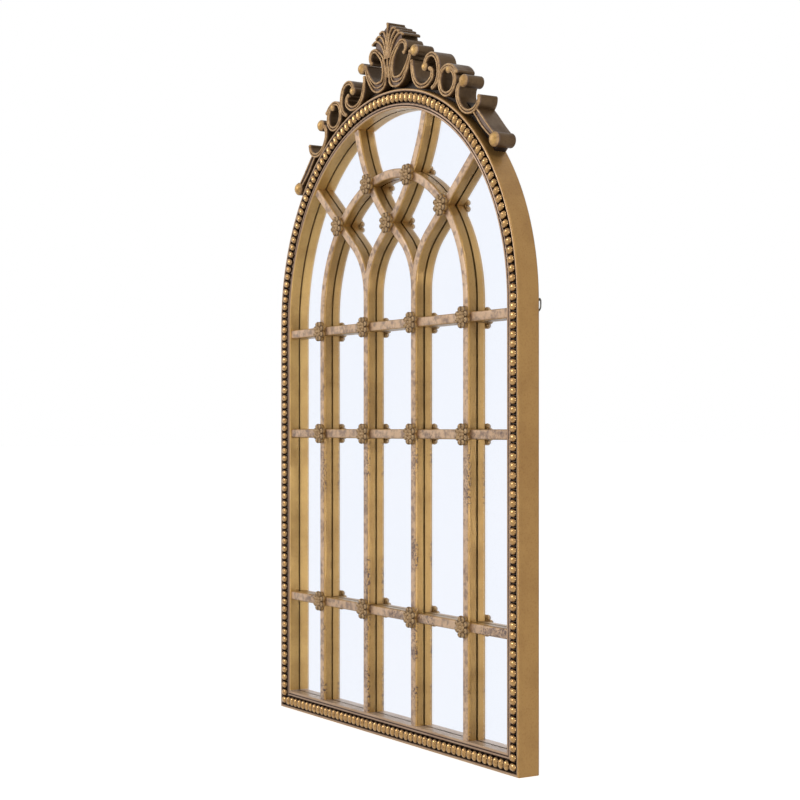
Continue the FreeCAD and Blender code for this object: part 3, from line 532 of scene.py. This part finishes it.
def makeFloor():
    work = bmesh.new()
    bmesh.ops.create_grid(work, x_segments=1, y_segments=1, size=floorLook["half"])
    bmesh.ops.translate(work, verts=work.verts, vec=(0, 0, floorLook["level"]))
    mesh = bpy.data.meshes.new("floor")
    work.to_mesh(mesh)
    work.free()
    material = bpy.data.materials.new("paleFloor")
    material.use_nodes = True
    tree = material.node_tree
    body = tree.nodes["Principled BSDF"]
    body.inputs["Base Color"].default_value = floorLook["color"]
    body.inputs["Roughness"].default_value = floorLook["roughness"]
    body.inputs["Emission Color"].default_value = (1, 1, 1, 1)
    path = place(tree, "ShaderNodeLightPath").outputs
    feed(tree, body.inputs["Emission Strength"],
         sums(tree, "MULTIPLY", path["Is Camera Ray"], floorLook["glow"]))
    white = place(tree, "ShaderNodeEmission")
    mixed = place(tree, "ShaderNodeMixShader")
    inGlass = sums(tree, "MAXIMUM", path["Is Glossy Ray"], path["Is Transmission Ray"])
    feed(tree, mixed.inputs[0], inGlass)
    feed(tree, mixed.inputs[1], body.outputs["BSDF"])
    feed(tree, mixed.inputs[2], white.outputs["Emission"])
    feed(tree, tree.nodes["Material Output"].inputs["Surface"], mixed.outputs["Shader"])
    mesh.materials.append(material)
    floor = bpy.data.objects.new("floor", mesh)
    bpy.context.scene.collection.objects.link(floor)


makeFloor()

# studio: white to the eye, to metal and to glass, softer as light
worldLook = {"seen": 1.0, "light": 0.45}


def makeStudio():
    world = bpy.data.worlds.new("studio")
    bpy.context.scene.world = world
    world.use_nodes = True
    tree = world.node_tree
    sky = tree.nodes["Background"]
    sky.inputs["Color"].default_value = (1, 1, 1, 1)
    path = place(tree, "ShaderNodeLightPath").outputs
    seen = sums(tree, "MAXIMUM", path["Is Camera Ray"], path["Is Glossy Ray"])
    seen = sums(tree, "MAXIMUM", seen, path["Is Transmission Ray"])
    lift = sums(tree, "MULTIPLY", seen, worldLook["seen"] - worldLook["light"])
    feed(tree, sky.inputs["Strength"], sums(tree, "ADD", lift, worldLook["light"]))


makeStudio()

lamps = [
    {"name": "keySoft", "at": (-1.2, -2.2, 1.0), "aim": (0, 0, 0.2), "size": 1.0, "power": 25},
    {"name": "sideSoft", "at": (2.2, -0.6, -0.75), "aim": (0, 0, -0.6), "size": 1.0, "power": 27},
    {"name": "rightSoft", "at": (2.6, -0.9, 2.2), "aim": (0, 0, 0.1), "size": 0.6, "power": 20},
]
for lamp in lamps:
    light = bpy.data.lights.new(lamp["name"], "AREA")
    light.size = lamp["size"]
    light.energy = lamp["power"]
    item = bpy.data.objects.new(lamp["name"], light)
    item.location = lamp["at"]
    ray = Vector(lamp["aim"]) - Vector(lamp["at"])
    item.rotation_euler = ray.to_track_quat("-Z", "Y").to_euler()
    bpy.context.scene.collection.objects.link(item)
print("stage and lamps set")

# camera: level, seen from the mirror's right
cameraLook = {
    "at": (2.353, -1.486, -0.188), "toward": (-0.848, 0.531, 0.0),
    "sensor": 36.0, "lens": 74.1, "rise": 0.0342,
}
camera = bpy.data.cameras.new("photoCamera")
camera.sensor_width = cameraLook["sensor"]
camera.lens = cameraLook["lens"]
camera.shift_y = cameraLook["rise"]
eye = bpy.data.objects.new("photoCamera", camera)
eye.location = cameraLook["at"]
eye.rotation_euler = Vector(cameraLook["toward"]).to_track_quat("-Z", "Y").to_euler()
bpy.context.scene.collection.objects.link(eye)
bpy.context.scene.camera = eye
bpy.context.scene.view_settings.view_transform = "Standard"
